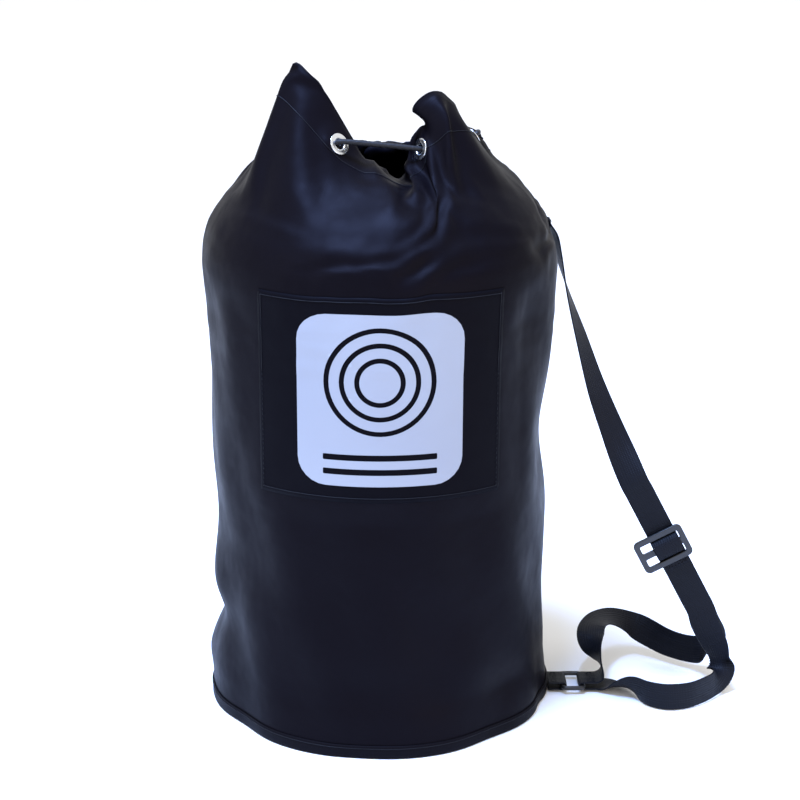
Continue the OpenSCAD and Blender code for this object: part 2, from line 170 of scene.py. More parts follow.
def spline(a, b, c, d, u):
    """A smooth step of u from b to c, with a and d on either side."""
    square = 2 * a - 5 * b + 4 * c - d
    cube = 3 * b - a - 3 * c + d
    return 0.5 * (2 * b + (c - a) * u + square * u ** 2 + cube * u ** 3)


def smooth_path(points, steps):
    p = np.asarray(points, float)
    last = len(p) - 1
    out = []
    for i in range(last):
        for k in range(steps):
            out.append(spline(p[max(i - 1, 0)], p[i], p[i + 1], p[min(i + 2, last)], k / steps))
    return np.array(out + [p[last]])


def even_path(points, step):
    """The same line with points a given step apart."""
    p = np.asarray(points, float)
    along = np.concatenate([[0], np.cumsum(np.linalg.norm(np.diff(p, axis=0), axis=1))])
    count = max(2, int(round(along[-1] / step)) + 1)
    places = np.linspace(0, along[-1], count)
    return np.stack([np.interp(places, along, p[:, k]) for k in range(p.shape[1])], axis=1)


def new_object(name, verts, faces, uvs=None):
    """A smooth mesh object. uvs holds one (u, v) in metres for each corner of each face."""
    mesh = bpy.data.meshes.new(name)
    mesh.from_pydata([tuple(v) for v in verts], [], faces)
    if uvs is not None:
        layer = mesh.uv_layers.new(name="cut")
        layer.data.foreach_set("uv", np.asarray(uvs, float).ravel())
    mesh.polygons.foreach_set("use_smooth", [True] * len(mesh.polygons))
    obj = bpy.data.objects.new(name, mesh)
    bpy.context.scene.collection.objects.link(obj)
    return obj


def finish_piece(obj, body, paint, replaced=()):
    obj.data.materials.append(paint)
    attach(obj, body)
    if replaced:
        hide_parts(*replaced)
    return obj

# ---------------------------------------------------------------- materials


def blank_paint(name):
    paint = bpy.data.materials.new(name)
    paint.use_nodes = True
    tree = paint.node_tree
    return paint, tree, tree.nodes["Principled BSDF"]


def noise(tree, source, scale, detail=3):
    node = tree.nodes.new("ShaderNodeTexNoise")
    node.inputs["Scale"].default_value = scale
    node.inputs["Detail"].default_value = detail
    tree.links.new(source, node.inputs["Vector"])
    return node.outputs["Fac"]


def bands(tree, source, direction, pitch):
    """Ribs a given pitch apart, across the U or V direction of the cut."""
    node = tree.nodes.new("ShaderNodeTexWave")
    node.bands_direction = direction
    node.inputs["Scale"].default_value = 2 * math.pi / (20 * pitch)
    tree.links.new(source, node.inputs["Vector"])
    return node.outputs["Fac"]


def mix_colours(tree, factor, first, second):
    node = tree.nodes.new("ShaderNodeMix")
    node.data_type = "RGBA"
    node.inputs["A"].default_value = (*first, 1)
    node.inputs["B"].default_value = (*second, 1)
    tree.links.new(factor, node.inputs["Factor"])
    return node.outputs["Result"]


def spread(tree, factor, low, high):
    node = tree.nodes.new("ShaderNodeMapRange")
    node.inputs["From Min"].default_value = 0.3
    node.inputs["From Max"].default_value = 0.7
    node.inputs["To Min"].default_value = low
    node.inputs["To Max"].default_value = high
    tree.links.new(factor, node.inputs["Value"])
    return node.outputs["Result"]


def product(tree, first, second):
    node = tree.nodes.new("ShaderNodeMath")
    node.operation = "MULTIPLY"
    tree.links.new(first, node.inputs[0])
    tree.links.new(second, node.inputs[1])
    return node.outputs["Value"]


def bump(tree, height, depth, below=None):
    node = tree.nodes.new("ShaderNodeBump")
    node.inputs["Distance"].default_value = depth
    tree.links.new(height, node.inputs["Height"])
    if below is not None:
        tree.links.new(below, node.inputs["Normal"])
    return node.outputs["Normal"]


def woven_paint(name, colours, roughness, pitch, weave, crinkle=None, gloss=0.3, tint=(1, 1, 1)):
    """Woven cloth: warp and weft at a pitch, mottled colour and gloss, and creases of a size and depth."""
    paint, tree, shader = blank_paint(name)
    place = tree.nodes.new("ShaderNodeTexCoord")
    flat, solid = place.outputs["UV"], place.outputs["Object"]
    mottle = noise(tree, solid, 9)
    tree.links.new(mix_colours(tree, mottle, *colours), shader.inputs["Base Color"])
    tree.links.new(spread(tree, noise(tree, solid, 35), *roughness), shader.inputs["Roughness"])
    threads = product(tree, bands(tree, flat, "X", pitch[0]), bands(tree, flat, "Y", pitch[1]))
    normal = bump(tree, threads, weave)
    if crinkle:
        normal = bump(tree, noise(tree, solid, 1 / crinkle[0], 2), crinkle[1], normal)
    tree.links.new(normal, shader.inputs["Normal"])
    shader.inputs["Specular IOR Level"].default_value = gloss
    shader.inputs["Specular Tint"].default_value = (*tint, 1)
    return paint


def hard_paint(name, colours, roughness, grain, depth, metallic=0.0):
    """Metal or plastic: a base colour that varies a little, worn gloss and a fine grain."""
    paint, tree, shader = blank_paint(name)
    solid = tree.nodes.new("ShaderNodeTexCoord").outputs["Object"]
    tree.links.new(mix_colours(tree, noise(tree, solid, 60), *colours), shader.inputs["Base Color"])
    tree.links.new(spread(tree, noise(tree, solid, 220), *roughness), shader.inputs["Roughness"])
    tree.links.new(bump(tree, noise(tree, solid, grain), depth), shader.inputs["Normal"])
    shader.inputs["Metallic"].default_value = metallic
    return paint


SHELL = woven_paint("shell_satin", [(0.0021, 0.0016, 0.0025), (0.0031, 0.0026, 0.0042)], (0.38, 0.50),
                    (0.0009, 0.0009), 0.00005, (0.035, 0.0014), 0.040, (0.94, 0.86, 1.0))
LINING = woven_paint("hem_satin", [(0.0026, 0.0024, 0.0046), (0.0038, 0.0036, 0.0066)], (0.38, 0.50),
                     (0.0009, 0.0009), 0.00005, (0.020, 0.0006), 0.055, (0.90, 0.86, 1.0))
TAPE = woven_paint("binding_tape", [(0.0022, 0.0019, 0.0028), (0.0034, 0.0030, 0.0044)], (0.48, 0.60),
                   (0.0016, 0.0009), 0.00012, None, 0.05, (0.92, 0.86, 1.0))
PATCH = woven_paint("patch_cloth", [(0.0014, 0.0013, 0.0024), (0.0022, 0.0020, 0.0034)], (0.50, 0.62),
                    (0.0008, 0.0008), 0.00005, (0.030, 0.0005), 0.04, (0.92, 0.88, 1.0))
PRINT = woven_paint("print_film", [(0.24, 0.255, 0.30), (0.30, 0.32, 0.365)], (0.45, 0.60),
                    (0.0008, 0.0008), 0.00004)
WEBBING = woven_paint("webbing", [(0.0040, 0.0045, 0.0070), (0.0070, 0.0080, 0.0115)], (0.38, 0.52),
                      (0.0021, 0.0015), 0.00025, None, 0.09)
CORD = woven_paint("cord_braid", [(0.0050, 0.0050, 0.0065), (0.0090, 0.0090, 0.0110)], (0.48, 0.60),
                   (0.0012, 0.0012), 0.00010)
THREAD = woven_paint("thread", [(0.0035, 0.0036, 0.0056), (0.0055, 0.0058, 0.0085)], (0.42, 0.52),
                     (0.0004, 0.0004), 0.00003, None, 0.15)
METAL = hard_paint("nickel", [(0.70, 0.71, 0.73), (0.80, 0.81, 0.82)], (0.16, 0.30), 900, 0.00003, 1.0)
PLASTIC = hard_paint("acetal", [(0.0045, 0.0045, 0.0050), (0.0080, 0.0080, 0.0085)], (0.28, 0.42),
                     1400, 0.00005)
STEEL = hard_paint("spring_wire", [(0.45, 0.45, 0.46), (0.60, 0.60, 0.60)], (0.20, 0.32),
                   1200, 0.00002, 1.0)

# ---------------------------------------------------------------- the eyelets' places on the CAD frame


def eyelet_frame(k):
    """Centre of the outer flange's face, and the outward normal, from the CAD eyelet's own mesh."""
    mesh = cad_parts[f"eyelet_{k}"].data
    co = np.array([v.co for v in mesh.vertices], float)
    middle = np.array([p.center for p in mesh.polygons], float)
    weight = np.array([p.area for p in mesh.polygons])
    centre = (middle * weight[:, None]).sum(0) / weight.sum()
    spread = ((middle - centre) * weight[:, None]).T @ (middle - centre)
    _, vectors = np.linalg.eigh(spread)
    normal = vectors[:, 0]
    along = (co - centre) @ normal
    across = np.linalg.norm((co - centre) - along[:, None] * normal, axis=1)
    if along[across > 0.0085].mean() < 0:
        normal = -normal
        along = -along
    return centre + normal * (along.max() - 0.001), normal


EYELET_FRAMES = [eyelet_frame(k) for k in range(1, EYELETS + 1)]

# ---------------------------------------------------------------- the fabric tube

SHOULDER_Z = 0.405
SHOULDER_PULL = 0.028
RIM_PULL = 0.045
RIM_STEP = 22.5
RIM = np.array([
    [-28, -54, 512], [16, -34, 455], [27, -46, 506], [52, -62, 544],
    [66, -12, 510], [44, 14, 470], [66, 36, 502], [84, 74, 486],
    [28, 70, 480], [4, 28, 462], [-22, 70, 481], [-62, 86, 518],
    [-60, 40, 526], [-36, 12, 490], [-63, -4, 536], [-72, -42, 562],
]) / 1000

# Which way the front eyelets face, and which way the fabric's edge lies from them
EYELET_FACES = {1: (0.63, -0.66, 0.40), 2: (-0.84, -0.50, 0.20)}
EYELET_EDGES = {1: (0.70, 0.35, 0.60), 2: (-0.52, 0.83, -0.12)}

# The pointed peak of the drawn mouth: fabric angle, place, the eyelets on either side
PEAK = (-142.5, np.array([-0.070, -0.042, 0.5615]), (8, 1))
PEAK_EASE = 0.95
# Held stretches of the edge: down from the peak past the left eyelet, the blunt peak by the right eyelet,
# and the dip between the two front eyelets
EDGE_HOLDS = [
    [(-141, (-0.0655, -0.0435, 0.5610)), (-138, (-0.061, -0.045, 0.558)),
     (-133, (-0.051, -0.047, 0.549)), (-126, (-0.040, -0.048, 0.534)),
     (-117, (-0.028, -0.050, 0.514)), (-113, (-0.024, -0.050, 0.507)), (-109, (-0.018, -0.050, 0.497))],
    [(-56, (0.026, -0.049, 0.524)), (-52, (0.027, -0.051, 0.533)), (-46, (0.040, -0.049, 0.542)),
     (-40, (0.054, -0.043, 0.537)), (-34, (0.061, -0.034, 0.529))],
    [(-95, (0.004, -0.047, 0.470)), (-90, (0.010, -0.043, 0.466)), (-85, (0.017, -0.041, 0.467))],
]


def rim(angle):
    s = (angle - FIRST_EYELET) / RIM_STEP
    i = math.floor(s)
    p = [RIM[(i + k) % len(RIM)] for k in (-1, 0, 1, 2)]
    return spline(*p, s - i)


def neck(angle, level):
    """The CAD wall's neck: level 0 at the shoulder, 1 at the rim."""
    edge = rim(angle)
    turn = math.degrees(math.atan2(edge[1], edge[0])) - angle
    turn -= 360 * round(turn / 360)
    p0 = np.array([BAG_R, SHOULDER_Z])
    p3 = np.array([math.hypot(edge[0], edge[1]), edge[2]])
    p1 = p0 + [0, SHOULDER_PULL]
    p2 = p3 + RIM_PULL * unit(p0 - p3)
    s = 1 - level
    p = s ** 3 * p0 + 3 * s * s * level * p1 + 3 * s * level * level * p2 + level ** 3 * p3
    a = math.radians(angle + turn * level * level * (3 - 2 * level))
    return np.array([p[0] * math.cos(a), p[0] * math.sin(a), p[1]])


def body(angle, s):
    """The filled part of the tube at a height s up the fabric."""
    a = math.radians(angle)
    return np.array([BAG_R * math.cos(a), BAG_R * math.sin(a), s])


def start_shape(angle, s):
    if s <= SHOULDER_Z:
        return body(angle, s)
    return neck(angle, (s - SHOULDER_Z) / (FABRIC_H - SHOULDER_Z))


def eyelet_axes(k):
    """Along the fabric, up the fabric and out of it, at eyelet k."""
    normal = unit(EYELET_FACES.get(k, EYELET_FRAMES[k - 1][1]))
    angle = FIRST_EYELET + (k - 1) * EYELET_STEP
    edge = np.array(EYELET_EDGES.get(k, neck(angle, 1) - neck(angle, 0.9)))
    up = unit(edge - (edge @ normal) * normal)
    return np.cross(up, normal), up, normal


ROWS = int(round(FABRIC_H / ROW_STEP)) + 1
HEIGHTS = np.linspace(0, FABRIC_H, ROWS)
ANGLES = np.array([FIRST_EYELET + 360 * i / COLUMNS for i in range(COLUMNS)])

# The neck's simulation: where its cloth starts, how the filled body below and the rope inside carry it
SIM_FROM = 0.300
SIM_FRAMES = 50
HELD_BELOW = 0.330
FREE_ABOVE = 0.395
EYELET_HOLD = 0.012
ANCHOR_HOLD = 0.8
EDGE_HOLD = 0.9
NECK_TAUT = 0.97
NECK_SPAN = (0.330, 0.530)
# Levels of the filling: half its width, half its depth and its height. It heaps up toward its two sides
FILLING = [
    (0.143, 0.143, 0.300), (0.146, 0.146, 0.360), (0.146, 0.146, 0.405), (0.141, 0.138, 0.425),
    (0.127, 0.120, 0.445), (0.104, 0.090, 0.465), (0.070, 0.050, 0.477), (0.005, 0.005, 0.481),
]


def cut_height(s):
    """Height on the flat cut. The filling pulls the neck tight, so its span counts as a bit shorter."""
    low, high = NECK_SPAN
    return min(s, low) + NECK_TAUT * (np.clip(s, low, high) - low) + max(s - high, 0)


def tube_faces(rows, columns, start=0):
    return [
        (start + j * columns + i, start + j * columns + (i + 1) % columns,
         start + (j + 1) * columns + (i + 1) % columns, start + (j + 1) * columns + i)
        for j in range(rows - 1) for i in range(columns)
    ]


def make_filling():
    """The rope inside, as a dome that the cloth rests on while it is simulated."""
    around = 64
    verts = [
        (wide * math.cos(2 * math.pi * i / around), deep * math.sin(2 * math.pi * i / around), z)
        for wide, deep, z in FILLING for i in range(around)
    ]
    dome = new_object("filling", verts, tube_faces(len(FILLING), around))
    dome.modifiers.new("touch", "COLLISION")
    dome.collision.thickness_outer = 0.003
    dome.collision.cloth_friction = 3
    return dome


def column_at(angle):
    return int(round((angle - FIRST_EYELET) / 360 * COLUMNS))


def hold_cloth(points, low):
    """Places and firmness of the holds: the body, the eyelets, the peaks and the strap's end."""
    held = points.copy()
    soft = np.clip((FREE_ABOVE - low) / (FREE_ABOVE - HELD_BELOW), 0, 1)
    weight = np.repeat((soft ** 2)[:, None], COLUMNS, axis=1)
    for k in range(1, EYELETS + 1):
        u, v, _ = eyelet_axes(k)
        along = (ANGLES - FIRST_EYELET - (k - 1) * EYELET_STEP + 180) % 360 - 180
        dx = np.radians(along) * BAG_R
        dy = low - (FABRIC_H - HEM_W / 2)
        near = np.hypot(dx[None, :], dy[:, None]) < EYELET_HOLD
        place = EYELET_FRAMES[k - 1][0] + dx[None, :, None] * u + dy[:, None, None] * v
        held[near] = place[near]
        weight[near] = 1
    angle, peak, sides = PEAK
    column = column_at(angle) % COLUMNS
    held[-1, column] = peak
    weight[-1, column] = 1
    arm = PEAK_EASE * 2 * math.pi * BAG_R / COLUMNS
    for step, k in zip((-1, 1), sides):
        _, up, _ = eyelet_axes(k)
        toward = unit(EYELET_FRAMES[k - 1][0] + up * HEM_W / 2 - peak)
        for count in (1, 2):
            held[-1, (column + step * count) % COLUMNS] = peak + count * arm * toward
            weight[-1, (column + step * count) % COLUMNS] = 1
    for stretch in EDGE_HOLDS:
        places = np.array([place for _, place in stretch])
        turns = [angle for angle, _ in stretch]
        for column in range(column_at(turns[0]), column_at(turns[-1]) + 1):
            angle = FIRST_EYELET + 360 * column / COLUMNS
            held[-1, column] = [np.interp(angle, turns, places[:, k]) for k in range(3)]
            weight[-1, column] = EDGE_HOLD
    turn = (ANGLES - ANCHOR_ANGLES[0]) % 360 < ANCHOR_ANGLES[1] - ANCHOR_ANGLES[0]
    level = (low > ANCHOR_HEIGHTS[0]) & (low < ANCHOR_HEIGHTS[1])
    sewn = level[:, None] & turn[None, :]
    weight[sewn] = ANCHOR_HOLD
    return held, weight


def simulate(points):
    """Lets the neck's cloth find its own folds round the held eyelets. points is rows x columns x 3."""
    first = int(np.searchsorted(HEIGHTS, SIM_FROM))
    low = HEIGHTS[first:]
    held, weight = hold_cloth(points[first:], low)
    cloth = new_object("cloth", held.reshape(-1, 3), tube_faces(len(low), COLUMNS))
    turn = np.radians(ANGLES)
    cut = np.array([
        np.stack([BAG_R * np.cos(turn), BAG_R * np.sin(turn), np.full(COLUMNS, cut_height(s))], axis=1)
        for s in low
    ])
    cloth.shape_key_add(name="held")
    cloth.shape_key_add(name="cut").data.foreach_set("co", cut.ravel())
    group = cloth.vertex_groups.new(name="pin")
    for v, amount in enumerate(weight.ravel()):
        if amount > 0.001:
            group.add([v], float(amount), "REPLACE")
    dome = make_filling()

    modifier = cloth.modifiers.new("cloth", "CLOTH")
    settings = modifier.settings
    settings.quality = 6
    settings.mass = 0.003
    settings.tension_stiffness = 60
    settings.compression_stiffness = 60
    settings.shear_stiffness = 20
    settings.bending_stiffness = 15
    settings.tension_damping = 15
    settings.compression_damping = 15
    settings.shear_damping = 10
    settings.bending_damping = 1
    settings.air_damping = 3
    settings.effector_weights.gravity = 0.12
    settings.vertex_group_mass = "pin"
    settings.pin_stiffness = 5
    settings.rest_shape_key = cloth.data.shape_keys.key_blocks["cut"]
    collide = modifier.collision_settings
    collide.distance_min = 0.002
    collide.use_self_collision = True
    collide.self_distance_min = 0.003
    collide.self_friction = 3
    collide.collision_quality = 2
    scene = bpy.context.scene
    scene.frame_start, scene.frame_end = 1, SIM_FRAMES
    modifier.point_cache.frame_start = 1
    modifier.point_cache.frame_end = SIM_FRAMES
    for f in range(1, SIM_FRAMES + 1):
        scene.frame_set(f)
    result = cloth.evaluated_get(bpy.context.evaluated_depsgraph_get()).to_mesh()
    co = np.zeros(len(result.vertices) * 3)
    result.vertices.foreach_get("co", co)
    out = points.copy()
    out[first:] = co.reshape(len(low), COLUMNS, 3)
    bpy.data.objects.remove(cloth)
    bpy.data.objects.remove(dome)
    scene.frame_set(1)
    free = np.zeros((ROWS, COLUMNS))
    free[first:] = 1 - weight
    return relax(out, free)


def relax(points, free):
    """Takes the smallest creases out of the free cloth."""
    for _ in range(4):
        around = (np.roll(points, 1, axis=1) + np.roll(points, -1, axis=1)) / 2
        up = points.copy()
        up[1:-1] = (points[2:] + points[:-2]) / 2
        points = points + 0.35 * free[:, :, None] * ((around + up) / 2 - points)
    return points


GRID = np.array([[start_shape(a, s) for a in ANGLES] for s in HEIGHTS])
GRID = simulate(GRID)

# ---------------------------------------------------------------- the finished surface of the cloth

FINER = 2
FINE_COLUMNS = COLUMNS * FINER
FINE_ROWS = (ROWS - 1) * FINER + 1

# Soft dents of the filled body: plan angle, height, half width round it, half height, depth
DENTS = [
    (182, 0.082, 0.065, 0.020, 0.0110), (176, 0.036, 0.070, 0.016, -0.0035),
    (2, 0.245, 0.065, 0.050, 0.0100), (8, 0.345, 0.070, 0.030, -0.0010),
    (6, 0.105, 0.060, 0.040, 0.0050), (186, 0.170, 0.070, 0.040, 0.0050),
    (-60, 0.110, 0.090, 0.040, 0.0040), (-128, 0.140, 0.080, 0.050, 0.0045),
    (-96, 0.060, 0.070, 0.020, 0.0035), (-40, 0.045, 0.050, 0.020, 0.0040),
    (60, 0.200, 0.090, 0.080, 0.0060), (120, 0.120, 0.080, 0.060, 0.0055),
    (150, 0.300, 0.060, 0.060, 0.0045), (95, 0.330, 0.070, 0.040, 0.0040),
]
# Long shallow waves: how many round the bag, turns up the height, phase, depth
WAVES = [(5, 2.0, 0.4, 0.0013), (9, -3.0, 1.9, 0.0010), (14, 5.0, 4.1, 0.0007)]
# Places where the base's round is flattened: plan angle, half width round it, depth
BASE_FLATS = [
    (-143, 0.030, 0.0050), (-51, 0.030, 0.0045), (-19, 0.016, 0.0030), (-96, 0.024, 0.0015),
    (50, 0.036, 0.0045), (105, 0.030, 0.0040), (160, 0.034, 0.0050),
]
# How far up the wall those places fade out
BASE_REACH = 0.055


def window(x, low, high, soft):
    return float(np.clip((x - low) / soft, 0, 1) * np.clip((high - x) / soft, 0, 1))


def arc_from(angle, at):
    """Distance round the body from one plan angle to another."""
    return math.radians((angle - at + 180) % 360 - 180) * BAG_R


def base_flat(angle):
    return sum(depth * math.exp(-(arc_from(angle, at) / wide) ** 2) for at, wide, depth in BASE_FLATS)


def dent(angle, s):
    """How far the wall lies inside its round at a place on the filled body."""
    deep = 0.0
    for at, height, wide, tall, depth in DENTS:
        deep += depth * math.exp(-(arc_from(angle, at) / wide) ** 2 - ((s - height) / tall) ** 2)
    for count, turns, phase, depth in WAVES:
        deep += depth * (1 + math.sin(count * math.radians(angle) + turns * 2 * math.pi * s + phase))
    over_patch = window((angle + 180) % 360 - 180, -142, -38, 12) * window(s, 0.205, 0.417, 0.022)
    deep *= window(s, 0.008, FREE_ABOVE, 0.035) * (1 - over_patch)
    return deep + base_flat(angle) * math.exp(-(s / BASE_REACH) ** 2)


def refine(grid):
    """Twice as many rows and columns, on a spline through the simulated ones."""
    rows = np.concatenate([grid[:1], grid, grid[-1:]])
    tall = [spline(*rows[j:j + 4], k / FINER) for j in range(ROWS - 1) for k in range(FINER)]
    tall = np.array(tall + [grid[-1]])
    ring = [np.roll(tall, shift, axis=1) for shift in (1, 0, -1, -2)]
    parts = [spline(*ring, k / FINER) for k in range(FINER)]
    return np.stack(parts, axis=2).reshape(FINE_ROWS, FINE_COLUMNS, 3)


CLOTH = refine(GRID)
FINE_HEIGHTS = np.linspace(0, FABRIC_H, FINE_ROWS)
FINE_ANGLES = FIRST_EYELET + 360 * np.arange(FINE_COLUMNS) / FINE_COLUMNS
for j, s in enumerate(FINE_HEIGHTS):
    if s < FREE_ABOVE:
        for i, a in enumerate(FINE_ANGLES):
            CLOTH[j, i, :2] *= 1 - dent(a, s) / BAG_R

ROUND_IT = np.roll(CLOTH, -1, axis=1) - np.roll(CLOTH, 1, axis=1)
UP_IT = np.gradient(CLOTH, axis=0)
NORMALS = unit(np.cross(ROUND_IT, UP_IT))


def sample(field, angle, s):
    x = ((angle - FIRST_EYELET) / 360 * FINE_COLUMNS) % FINE_COLUMNS
    y = min(max(s / FABRIC_H * (FINE_ROWS - 1), 0), FINE_ROWS - 1.001)
    i, j = int(x), int(y)
    u, v = x - i, y - j
    k = (i + 1) % FINE_COLUMNS
    i %= FINE_COLUMNS
    low = field[j, i] * (1 - u) + field[j, k] * u
    high = field[j + 1, i] * (1 - u) + field[j + 1, k] * u
    return low * (1 - v) + high * v


def on_cloth(angle, s, lift=0.0):
    return sample(CLOTH, angle, s) + lift * unit(sample(NORMALS, angle, s))


def skin(name, angles, heights, outer, inner, closed=False, edge=0.0):
    """A layer of cloth between two offsets from the wall's outer face. edge draws its corners in."""
    wide, tall = len(angles), len(heights)
    middle = (outer + inner) / 2
    verts = []
    for offset in (outer, inner):
        for j, s in enumerate(heights):
            at_edge = j in (0, tall - 1)
            for i, a in enumerate(angles):
                corner = at_edge or (not closed and i in (0, wide - 1))
                lift = offset + (middle - offset) * edge if corner else offset
                verts.append(on_cloth(a, s, lift))
    faces, uvs = [], []
    pace = math.radians(angles[1] - angles[0]) * BAG_R
    last = wide if closed else wide - 1

    def add(corners):
        faces.append([side * wide * tall + j * wide + i % wide for side, j, i in corners])
        uvs.extend([(i * pace, heights[j] + 0.0007 * side) for side, j, i in corners])

    for j in range(tall - 1):
        for i in range(last):
            add([(0, j, i), (0, j, i + 1), (0, j + 1, i + 1), (0, j + 1, i)])
            add([(1, j, i), (1, j + 1, i), (1, j + 1, i + 1), (1, j, i + 1)])
    for i in range(last):
        add([(0, 0, i), (1, 0, i), (1, 0, i + 1), (0, 0, i + 1)])
        add([(0, tall - 1, i), (0, tall - 1, i + 1), (1, tall - 1, i + 1), (1, tall - 1, i)])
    if not closed:
        for j in range(tall - 1):
            add([(0, j, 0), (0, j + 1, 0), (1, j + 1, 0), (1, j, 0)])
            add([(0, j, wide - 1), (1, j, wide - 1), (1, j + 1, wide - 1), (0, j + 1, wide - 1)])
    return new_object(name, verts, faces, uvs)


def stitches(name, line, normals, body, pitch=0.0042, length=0.0030, radius=0.00035):
    """A row of thread stitches along a line, each a small spindle half sunk in the cloth."""
    p = np.asarray(line, float)
    both = even_path(np.concatenate([p, np.asarray(normals, float)], axis=1), pitch)
    verts, faces = [], []
    for i in range(len(both) - 1):
        start, end = both[i, :3], both[i + 1, :3]
        along = unit(end - start)
        normal = unit(both[i, 3:])
        across = np.cross(along, normal)
        centre = (start + end) / 2 + 0.5 * radius * normal
        first = len(verts)
        verts.append(centre - along * length / 2)
        for k in range(6):
            a = math.pi * k / 3
            verts.append(centre + radius * (math.cos(a) * across + math.sin(a) * normal))
        verts.append(centre + along * length / 2)
        for k in range(6):
            m = (k + 1) % 6
            faces.append((first, first + 1 + m, first + 1 + k))
            faces.append((first + 7, first + 1 + k, first + 1 + m))
    obj = new_object(name, verts, faces)
    obj.data.materials.append(THREAD)
    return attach(obj, body)


def cloth_line(places, lift):
    """Points and normals of a line over the cloth through (angle, height) places."""
    fine = smooth_path(places, 1) if len(places) > 2 else np.asarray(places, float)
    steps = max(2, int(max(np.abs(np.diff(fine[:, 0])).sum() * math.radians(1) * BAG_R,
                           np.abs(np.diff(fine[:, 1])).sum()) / 0.002))
    t = np.linspace(0, len(fine) - 1, steps)
    angle = np.interp(t, np.arange(len(fine)), fine[:, 0])
    height = np.interp(t, np.arange(len(fine)), fine[:, 1])
    points = [on_cloth(a, s, lift) for a, s in zip(angle, height)]
    return points, [unit(sample(NORMALS, a, s)) for a, s in zip(angle, height)]



def round_line(height, lift):
    """Points and normals of a line all the way round the bag at one height of the fabric."""
    return cloth_line([(FIRST_EYELET, height), (FIRST_EYELET + 360, height)], lift)


def corner_line(corners, lift):
    """Points and normals of straight rows of stitches from corner to corner."""
    points, normals = [], []
    for start, end in zip(corners, corners[1:]):
        line = cloth_line([start, end], lift)
        points += line[0]
        normals += line[1]
    return points, normals


# ---------------------------------------------------------------- the bag's cloth pieces


def span(low, high, step):
    return np.linspace(low, high, max(2, int(round((high - low) / step)) + 1))


def make_wall():
    wall = skin("bag_tube", FINE_ANGLES, FINE_HEIGHTS[1:], 0, -WALL_T, True, 0.5)
    finish_piece(wall, "bag", SHELL, ["bag_wall"])
    seam = stitches("hem_stitching", *round_line(FABRIC_H - 0.9 * HEM_W, 0), "bag")
    return wall


def make_hem():
    hem_low = FABRIC_H - HEM_W
    rows = [s for s in FINE_HEIGHTS if s >= hem_low - 0.001]
    hem = skin("hem_fold", FINE_ANGLES, rows, -WALL_T - 0.0001, -2 * WALL_T - 0.0001, True, 0.6)
    finish_piece(hem, "bag", LINING, ["hem_band"])


def make_seam_tape():
    tape = skin("seam_tape", span(-5, 5, 1), span(0.012, 0.510, 0.004),
                -WALL_T - 0.0001, -2 * WALL_T - 0.0001, False, 0.5)
    finish_piece(tape, "bag", TAPE, ["side_seam_tape"])
    for side in (-1, 1):
        line = cloth_line([(side * 3.6, 0.016), (side * 3.6, 0.505)], -2 * WALL_T - 0.0001)
        stitches("tape_stitching_" + ("a" if side < 0 else "b"), line[0], -np.array(line[1]), "bag")


def make_base():
    """The base disc: flat cloth with a slight sag between the binding and the floor."""
    rings, around = 14, 128
    verts, faces, uvs = [], [], []
    for side in (0, 1):
        for j in range(rings + 1):
            r = (BAG_R - 0.0004) * j / rings
            z = 0.0022 if side else 0.0002 + 0.0006 * math.sin(math.pi * j / rings) ** 2
            for i in range(around):
                a = 2 * math.pi * i / around
                drawn = max(r, 0.0002) * (1 - base_flat(math.degrees(a)) / BAG_R)
                verts.append((drawn * math.cos(a), drawn * math.sin(a), z))

    def add(ids):
        faces.append(ids)
        uvs.extend([verts[k][:2] for k in ids])

    half = (rings + 1) * around
    for j in range(rings):
        for i in range(around):
            a, b = j * around + i, j * around + (i + 1) % around
            add((a, a + around, b + around, b))
            add((half + a, half + b, half + b + around, half + a + around))
    edge = rings * around
    for i in range(around):
        k = (i + 1) % around
        add((edge + i, half + edge + i, half + edge + k, edge + k))
    add(list(range(around)))
    add([half + i for i in reversed(range(around))])
    disc = new_object("base_disc", verts, faces, uvs)
    finish_piece(disc, "bag", SHELL, ["base_panel"])


def make_binding():
    tape = skin("base_tape", FINE_ANGLES, [0.0006, 0.0012, 0.004, 0.008, BINDING_TOP - 0.0008, BINDING_TOP],
                0.0012, 0.0001, True, 0.8)
    finish_piece(tape, "bag", TAPE, ["base_binding"])
    stitches("base_stitching", *round_line(BINDING_TOP - 0.0025, 0.0012), "bag")


def make_patch():
    low, high = PATCH_ANGLES
    patch = skin("patch_panel", span(low, high, 1), span(PATCH_LOW, PATCH_HIGH, 0.003),
                 PATCH_T - 0.00005, 0.0001, False, 0.7)
    finish_piece(patch, "bag", PATCH, ["front_patch"])
    inset_a = math.degrees(0.004 / BAG_R)
    inset_z = 0.004
    a0, a1, z0, z1 = low + inset_a, high - inset_a, PATCH_LOW + inset_z, PATCH_HIGH - inset_z
    corners = [(a0, z0), (a1, z0), (a1, z1), (a0, z1), (a0, z0)]
    seam = stitches("patch_stitching", *corner_line(corners, PATCH_T), "bag")


def print_outlines():
    """A plain rounded block with a coil of rope over two bars, flat, round its own middle."""
    rings = [arc(PRINT_ROPE_AT, radius + side * 0.002, 0, 354, 60)
             for radius in (0.018, 0.030, 0.042) for side in (-1, 1)]
    bars = [[(x, y + at) for x, y in round_box(0.090, 0.005, 0.001)] for at in (-0.046, -0.058)]
    return [round_box(*PRINT_SIZE, 0.022)] + rings + bars


